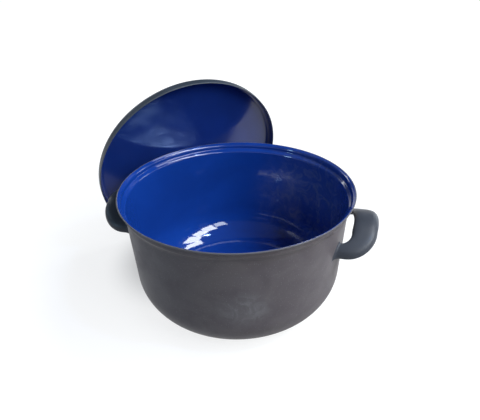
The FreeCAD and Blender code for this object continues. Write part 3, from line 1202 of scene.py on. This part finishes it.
@dataclass
class Lid:
    """Shallow drawn lid, made with its edge at z = 0 and its crown up, then stood on edge.

    Attributes:
        pot: the pot that it belongs to.
        clearance: skirt to the inside of the collar.
        height: edge to the outside of the crown.
        skirt: straight part of the skirt.
        corner: outer radius between skirt and crown.
        shell_wall: thickness of the shell.
        hole: radius of the screw's hole.
        lean: degrees from upright.
        bearing: direction from the pot's axis to the lid, degrees from +X.
        side_shift: how far the lid stands to the left of that direction.
        rim_gap: rim to the inside of the lid.
    """

    pot: Pot
    clearance: float = 1.74
    height: float = 17.8
    skirt: float = 6.0
    corner: float = 8.0
    shell_wall: float = 0.9
    hole: float = 2.9
    lean: float = 17.5
    bearing: float = 131.0
    side_shift: float = 4.3
    rim_gap: float = 0.3

    @property
    def wall(self) -> float:
        """Thickness of shell and lining together."""
        return self.shell_wall + self.pot.lining_wall

    @property
    def radius(self) -> float:
        """Outside of the skirt."""
        return self.pot.collar_radius - self.pot.shell_wall - self.pot.lining_wall - self.clearance

    @property
    def edge_round(self) -> float:
        """Radius of the rounded edge."""
        return self.shell_wall / 2

    @property
    def edge_centre(self) -> np.ndarray:
        """Middle of the rounded edge, as (r, z)."""
        return np.array([self.radius - self.edge_round, self.edge_round])

    @property
    def crown_radius(self) -> float:
        """Outer radius of the crown's sphere, which touches the corner's arc.

        Returns:
            The radius at which the sphere's top is at the lid's height.
        """
        rise = self.height - self.skirt
        span = (self.radius - self.corner) ** 2 + rise ** 2 - self.corner ** 2
        return span / (2 * (rise - self.corner))

    def path(self, depth: float) -> np.ndarray:
        """Path at a depth below the outer surface: crown arc, corner arc and skirt.

        Args:
            depth: how far below.

        Returns:
            Points (r, z) from the screw's hole to the edge.
        """
        crown_centre = np.array([0.0, self.height - self.crown_radius])
        corner_centre = np.array([self.radius - self.corner, self.skirt])
        end = math.atan2(*(corner_centre - crown_centre)[::-1])
        crown = self.crown_radius - depth
        top = arc(crown_centre, crown, math.acos(self.hole / crown), end, count=70)[:-1]
        bend = arc(corner_centre, self.corner - depth, end, 0.0, count=26)[:-1]
        skirt_top = np.array([self.radius - depth, self.skirt])
        skirt_end = np.array([self.radius - depth, self.edge_round])
        return np.concatenate([top, bend, crowded(skirt_top, skirt_end, step=0.8), [skirt_end]])

    def shell(self) -> Surface:
        """Steel lid: outer path, half circle round the edge, inner path back to the hole.

        Returns:
            The skin, in the lid's own frame.
        """
        edge = arc(self.edge_centre, self.edge_round, 0.0, -math.pi, count=11)[1:-1]
        profile = np.concatenate([self.path(0.0), edge, self.path(self.shell_wall)[::-1]])
        mark = edge_mark(profile, self.edge_centre, far=2.0, near=0.7)
        return turned(profile, Ends.RING, {"edge": mark})

    def lining(self) -> Surface:
        """Glossy coat inside the lid, between two depths.

        Returns:
            The skin, in the lid's own frame.
        """
        profile = np.concatenate([self.path(self.shell_wall), self.path(self.wall)[::-1]])
        mark = edge_mark(profile, self.edge_centre, far=1.5, near=0.5)
        return turned(profile, Ends.RING, {"edge": mark})

    def stand(self) -> np.ndarray:
        """Where the lid stands: its edge on the floor, its dish leaning on the rim.

        The rim's rounded edge touches the inside of the crown's sphere, less the gap.

        Returns:
            4 x 4 matrix in millimetres.
        """
        lean, bearing = math.radians(self.lean), math.radians(self.bearing)
        height = self.edge_centre[0] * math.cos(lean) + self.edge_round * (1 - math.sin(lean))
        touching = self.crown_radius - self.wall - self.pot.lip_round - self.rim_gap
        crown_centre = self.height - self.crown_radius
        rim, rim_height = self.pot.lip_centre
        level = rim_height - height - crown_centre * math.sin(lean)
        distance = rim - crown_centre * math.cos(lean) - math.sqrt(touching ** 2 - level ** 2)
        away = Vector((math.cos(bearing), math.sin(bearing), 0))
        left = Vector((-away.y, away.x, 0))
        place = away * distance + left * self.side_shift + Vector((0, 0, height))
        turn = Matrix.Rotation(bearing, 4, "Z") @ Matrix.Rotation(math.pi / 2 - lean, 4, "Y")
        return np.array(Matrix.Translation(place) @ turn)

    def dress(self, grey: bpy.types.Material, blue: bpy.types.Material) -> None:
        """Puts the lid's pieces into the scene.

        Args:
            grey: finish of the shell.
            blue: finish of the lining.
        """
        shell, lining = (skin.moved(self.stand()) for skin in (self.shell(), self.lining()))
        settle(shell, "lid_cover", "lid_shell", Body.LID, grey)
        settle(lining, "lid_inner_coat", "lid_lining", Body.LID, blue)


@dataclass
class Knob:
    """Moulded knob on the lid with its washers and screw.

    Attributes:
        lid: the lid that it is on.
        height: foot to the top.
        radius: widest radius.
        foot_radius: radius of the foot.
        foot_height: height of the foot's straight side.
        foot_bends: radii at the end of the blind hole, at its mouth and at the foot's edge.
        waist_radius: narrowest radius.
        waist_height: height of the waist.
        edge: rounding of the widest edge.
        edge_wear: strength of the wear on that edge.
        crown: rise of the top.
        seal_radius: radius of the washer under the knob.
        seal_thickness: thickness of that washer.
        insert_radius: radius of the blind hole.
        insert_length: depth of the blind hole.
        washer_radius: radius of the screw's washer.
        washer_thickness: thickness of the screw's washer.
        ring_radius: radius of the groove round the top.
        ring_width: half width of that groove.
        ring_depth: depth of that groove.
    """

    lid: Lid
    height: float = 27.0
    radius: float = 20.0
    foot_radius: float = 11.5
    foot_height: float = 2.0
    foot_bends: Triple = (0.3, 0.3, 0.6)
    waist_radius: float = 9.0
    waist_height: float = 7.5
    edge: float = 4.0
    edge_wear: float = 0.7
    crown: float = 4.0
    seal_radius: float = 13.0
    seal_thickness: float = 2.0
    insert_radius: float = 4.5
    insert_length: float = 15.0
    washer_radius: float = 8.0
    washer_thickness: float = 1.0
    ring_radius: float = 12.5
    ring_width: float = 0.8
    ring_depth: float = 0.5

    @property
    def base(self) -> float:
        """Underside of the knob, in the lid's frame."""
        return self.lid.height + self.seal_thickness

    def waist(self, under: np.ndarray) -> np.ndarray:
        """Hollow side: the circle through the foot's top, the waist and the underside of the edge.

        Args:
            under: underside of the widest edge, as (r, z).

        Returns:
            Points (r, z) from the foot's top to the underside, without the last.
        """
        first = np.array([self.foot_radius, self.foot_height])
        middle = np.array([self.waist_radius, self.waist_height])
        rows = 2 * np.stack([middle - first, under - first])
        squares = [middle @ middle - first @ first, under @ under - first @ first]
        centre = np.linalg.solve(rows, squares)
        low, high = (math.atan2(*(point - centre)[::-1]) % (2 * math.pi) for point in (first, under))
        return arc(centre, float(np.linalg.norm(first - centre)), low, high, count=40)[:-1]

    def body(self) -> Surface:
        """Turned mushroom: blind hole, foot, hollow waist, rounded edge and low dome.

        A groove of bell shape runs round the dome.

        Returns:
            The skin, in the lid's own frame.
        """
        edge_centre = np.array([self.radius - self.edge, self.height - self.crown - self.edge])
        dome = (edge_centre[0] ** 2 + self.crown ** 2) / (2 * self.crown)
        dome_centre = np.array([0.0, self.height - dome])
        quarter = math.pi / 2
        top = arc(dome_centre, dome, math.acos(edge_centre[0] / dome), quarter, count=80)
        bell = np.exp(-((top[:, 0] - self.ring_radius) / self.ring_width) ** 2)
        top[:, 1] -= self.ring_depth * bell
        hole = np.array([(0.0, self.insert_length), (self.insert_radius, self.insert_length),
                         (self.insert_radius, 0.0), (self.foot_radius, 0.0),
                         (self.foot_radius, self.foot_height)])
        foot = rounded(hole, self.foot_bends, step=1.5)[:-1]
        rim = arc(edge_centre, self.edge, -quarter, quarter, count=40)[:-1]
        profile = np.concatenate([foot, self.waist(edge_centre - [0, self.edge]), rim, top])
        mark = self.edge_wear * smoothstep(self.radius - 1.5, self.radius, profile[:, 0])
        profile[:, 1] += self.base
        profile[-1, 0] = 0.0
        return turned(profile, Ends.AXIS, {"edge": mark})

    def seal(self) -> Surface:
        """Washer between knob and lid: a flat ring with rounded edges.

        Returns:
            The skin, in the lid's own frame.
        """
        profile = rounded_ring(self.lid.hole, self.seal_radius, self.lid.height, self.base, edge=0.5)
        mark = smoothstep(0.6, 0.0, self.seal_radius - profile[:, 0])
        return turned(profile, Ends.RING, {"edge": mark})

    def washer(self) -> Surface:
        """Steel washer in the dish, under the screw's head: a thin flat ring.

        Returns:
            The skin, in the lid's own frame.
        """
        dish = self.lid.crown_radius - self.lid.wall
        drop = math.sqrt(dish ** 2 - self.washer_radius ** 2)
        seat = self.lid.height - self.lid.crown_radius + drop
        low = seat - self.washer_thickness
        profile = rounded_ring(self.lid.hole, self.washer_radius, low, seat, edge=0.25)
        return turned(profile, Ends.RING)

    def dress(self, resin: bpy.types.Material, rubber: bpy.types.Material,
              steel: bpy.types.Material, brass: bpy.types.Material) -> None:
        """Puts the knob's pieces into the scene and finishes the CAD screw and insert.

        Args:
            resin: finish of the knob.
            rubber: finish of the washer under it.
            steel: finish of the screw and its washer.
            brass: finish of the insert.
        """
        skins = (self.body(), self.seal(), self.washer())
        body, seal, washer = (skin.moved(self.lid.stand()) for skin in skins)
        settle(body, "knob_body", "lid_knob", Body.LID, resin)
        settle(seal, "knob_seal", "knob_washer", Body.LID, rubber)
        settle(washer, "screw_ring", "screw_washer", Body.LID, steel)
        for node, material in (("knob_screw", steel), ("knob_insert", brass)):
            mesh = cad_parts[node].data
            mesh.materials.clear()
            mesh.materials.append(material)
            LOG.info("%s: CAD node with a new finish", node)


# Studio

@dataclass(frozen=True)
class Lamp:
    """Flat soft lamp that faces the pot.

    Attributes:
        name: name of the lamp.
        direction: degrees from +X round the pot, and degrees above the floor.
        distance: metres from the pot.
        size: metres across and up.
        power: watts.
        colour: colour of the light.
        roll: degrees that its left end, seen from the front, is raised.
    """

    name: str
    direction: tuple[float, float]
    distance: float
    size: tuple[float, float]
    power: float
    colour: Triple = WHITE
    roll: float = 0.0

    def build(self, aim: Vector) -> None:
        """Puts the lamp into the scene.

        Args:
            aim: point that it faces.
        """
        azimuth, elevation = (math.radians(angle) for angle in self.direction)
        level = math.cos(elevation)
        out = Vector((math.cos(azimuth) * level, math.sin(azimuth) * level, math.sin(elevation)))
        light = bpy.data.lights.new(self.name, "AREA")
        light.shape = "RECTANGLE"
        light.size, light.size_y = self.size
        light.energy, light.color = self.power, self.colour
        lamp = bpy.data.objects.new(self.name, light)
        lamp.location = aim + out * self.distance
        roll = Matrix.Rotation(math.radians(self.roll), 3, "Z")
        lamp.rotation_euler = (out.to_track_quat("Z", "Y").to_matrix() @ roll).to_euler()
        bpy.context.scene.collection.objects.link(lamp)
        LOG.info("%s: %.1f W", self.name, self.power)


@dataclass
class Studio:
    """Pale floor, soft lamps, pale surroundings and the camera.

    Attributes:
        eye: place of the camera in metres.
        target: point in the middle of the picture.
        roll: degrees that the camera is turned clockwise.
        focal: focal length against the width of the picture.
        floor_size: half the width of the floor in metres.
        floor_level: height of the floor.
        floor_dark: darker tone of the floor.
        floor_pale: paler tone of the floor.
        painted_shadow: middle of the painted shadow on the floor between pot and lid, where the floor's
            glow is dimmed.
        aim: point that the lamps face.
        room: surroundings above the horizon, as mirrored.
        dusk: colour of the light from all around.
        lamps: the lamps.
    """

    eye: Triple = (0.10179, -0.38492, 0.33471)
    target: Triple = (0.00337, 0.00086, 0.10385)
    roll: float = 1.39
    focal: float = 0.875
    floor_size: float = 40.0
    floor_level: float = -0.0002
    floor_dark: Triple = (0.23, 0.23, 0.23)
    floor_pale: Triple = (0.26, 0.26, 0.26)
    # Middle of the painted shadow on the floor.
    painted_shadow: Triple = (-0.078, 0.042, 0.0)
    aim: Triple = (0.0, 0.0, 0.08)
    room: Triple = (0.10, 0.12, 0.16)
    dusk: Triple = (0.10, 0.115, 0.15)
    lamps: tuple[Lamp, ...] = (
        Lamp("window_1", (27.5, 57.5), 1.4, (0.32, 0.40), 6.0, DAYLIGHT, 20.0),
        Lamp("window_2", (6.0, 48.0), 1.4, (0.33, 0.50), 7.9, DAYLIGHT, 14.0),
        Lamp("window_3", (-13.0, 43.0), 1.4, (0.31, 0.38), 5.6, DAYLIGHT, 10.0),
        Lamp("window_4", (-32.0, 38.0), 1.4, (0.40, 0.45), 8.0, DAYLIGHT, 6.0),
        Lamp("window_5", (-51.5, 32.0), 1.4, (0.32, 0.30), 2.6, (0.90, 0.96, 1.0), 12.0),
        Lamp("high_pane_1", (-13.8, 55.6), 1.4, (0.034, 0.112), 2.2, SKYLIGHT),
        Lamp("high_pane_2", (-16.1, 56.3), 1.4, (0.032, 0.090), 1.7, SKYLIGHT),
        Lamp("high_pane_3", (-18.3, 57.4), 1.4, (0.036, 0.050), 0.7, SKYLIGHT),
        Lamp("side_lamp", (4.0, 11.0), 1.6, (0.90, 0.26), 2.9),
        Lamp("back_lamp", (52.0, 14.0), 1.5, (0.90, 0.36), 3.8, (0.85, 0.95, 1.0)),
        Lamp("fill_lamp", (-138.0, 14.5), 1.5, (0.22, 0.26), 3.0, (0.42, 0.72, 1.0)),
        Lamp("left_lamp", (-172.0, 28.0), 1.5, (0.50, 0.36), 2.4, (0.60, 0.80, 1.0)),
        Lamp("rear_lamp", (140.0, 22.0), 1.6, (0.60, 0.40), 4.0, (0.95, 0.98, 1.0)),
    )

    def camera(self) -> None:
        """Camera above the front of the pot, a little to its right."""
        data = bpy.data.cameras.new("camera")
        data.sensor_width = 36.0
        data.lens = self.focal * data.sensor_width
        data.clip_start, data.clip_end = 0.01, 200.0
        camera = bpy.data.objects.new("camera", data)
        eye, target = Vector(self.eye), Vector(self.target)
        turn = (target - eye).to_track_quat("-Z", "Y").to_matrix()
        turn = turn @ Matrix.Rotation(-math.radians(self.roll), 3, "Z")
        camera.matrix_world = Matrix.Translation(eye) @ turn.to_4x4()
        bpy.context.scene.collection.objects.link(camera)
        bpy.context.scene.camera = camera

    @staticmethod
    def seen(graph: Graph) -> bpy.types.NodeSocket:
        """Whether a ray is one that shows things, rather than one that lights them.

        Args:
            graph: the graph to add to.

        Returns:
            1 for rays from the camera, in reflections and through glass, and 0 for others.
        """
        path = graph.add("ShaderNodeLightPath").outputs
        seen = graph.math("MAXIMUM", path["Is Camera Ray"], path["Is Glossy Ray"])
        return graph.math("MAXIMUM", seen, path["Is Transmission Ray"])

    def floor(self) -> None:
        """Pale floor with a faint cloudy tone; it looks white away from the pot's shadow."""
        corners = np.array([(-1, -1), (1, -1), (1, 1), (-1, 1)], float) * self.floor_size
        mesh = bpy.data.meshes.new("floor")
        points = np.column_stack([corners, np.full(4, self.floor_level)])
        mesh.from_pydata(points.tolist(), [], [(0, 1, 2, 3)])
        floor = bpy.data.objects.new("floor", mesh)
        bpy.context.scene.collection.objects.link(floor)
        material, graph, shader = new_material("pale_floor")
        place = graph.place()
        tone = graph.mixed(graph.noise(place, scale=6.0), self.floor_dark, self.floor_pale)
        graph.join(tone, shader["Base Color"])
        shader["Roughness"].default_value = 1.0
        shader["Specular IOR Level"].default_value = 0.0
        shader["Emission Color"].default_value = opaque(WHITE)
        away = graph.add("ShaderNodeVectorMath", {0: place}, operation="LENGTH").outputs["Value"]
        # Painted shadow: the glow that the eye and mirrors see is dimmed down to 0.3 near a spot
        # between pot and lid, where the pot's shade would fall.
        near = graph.add("ShaderNodeVectorMath", {0: place, 1: self.painted_shadow}, operation="DISTANCE")
        wide = graph.mapped(away, 0.2, 1.0, to_low=0.80)
        dim = graph.mapped(near.outputs["Value"], 0.03, 0.115, to_low=0.3)
        glow = graph.math("MULTIPLY", self.seen(graph), graph.math("MULTIPLY", wide, dim))
        graph.join(glow, shader["Emission Strength"])
        mesh.materials.append(material)

    def world(self) -> None:
        """Surroundings: white to the eye, white only at the horizon in mirrors, dim to light things."""
        world = bpy.data.worlds.new("studio")
        world.use_nodes = True
        graph = Graph(world.node_tree)
        background = world.node_tree.nodes["Background"]
        direction = graph.add("ShaderNodeTexCoord").outputs["Generated"]
        height = graph.add("ShaderNodeSeparateXYZ", {0: direction}).outputs["Z"]
        mirrored = graph.mixed(graph.mapped(height, low=0.05, high=0.28), WHITE, self.room)
        around = graph.mixed(self.seen(graph), self.dusk, mirrored)
        eye = graph.add("ShaderNodeLightPath").outputs["Is Camera Ray"]
        graph.join(graph.mixed(eye, around, WHITE), background.inputs["Color"])
        bpy.context.scene.world = world

    def build(self) -> None:
        """Puts everything into the scene."""
        bpy.context.scene.view_settings.view_transform = "Standard"
        self.camera()
        self.floor()
        self.world()
        for lamp in self.lamps:
            lamp.build(Vector(self.aim))


def main() -> None:
    """Builds the casserole, its finishes and the studio."""
    logging.basicConfig(level=logging.INFO, format="%(name)s %(message)s")
    effects = Effects()
    # The cover and lid-lining finishes are darkened copies of the grey and blue enamels: painted shade.
    enamels = (GREY_ENAMEL, BLUE_ENAMEL, DARKENED_COVER_ENAMEL, DARKENED_LID_ENAMEL, HANDLE_ENAMEL)
    grey, blue, darkened_cover, darkened_lid_blue, enamel = (finish.material(effects) for finish in enamels)
    fittings = (KNOB_RESIN, SEAL_RUBBER, SCREW_STEEL, INSERT_BRASS)
    resin, rubber, steel, brass = (finish.material(effects) for finish in fittings)
    pot = Pot()
    pot.dress(grey, blue)
    LoopHandle(pot).dress(enamel)
    lid = Lid(pot)
    # The lid takes the darkened copies of both enamels: painted shade.
    lid.dress(darkened_cover, darkened_lid_blue)
    Knob(lid).dress(resin, rubber, steel, brass)
    Studio().build()


if __name__ == "__main__":
    main()
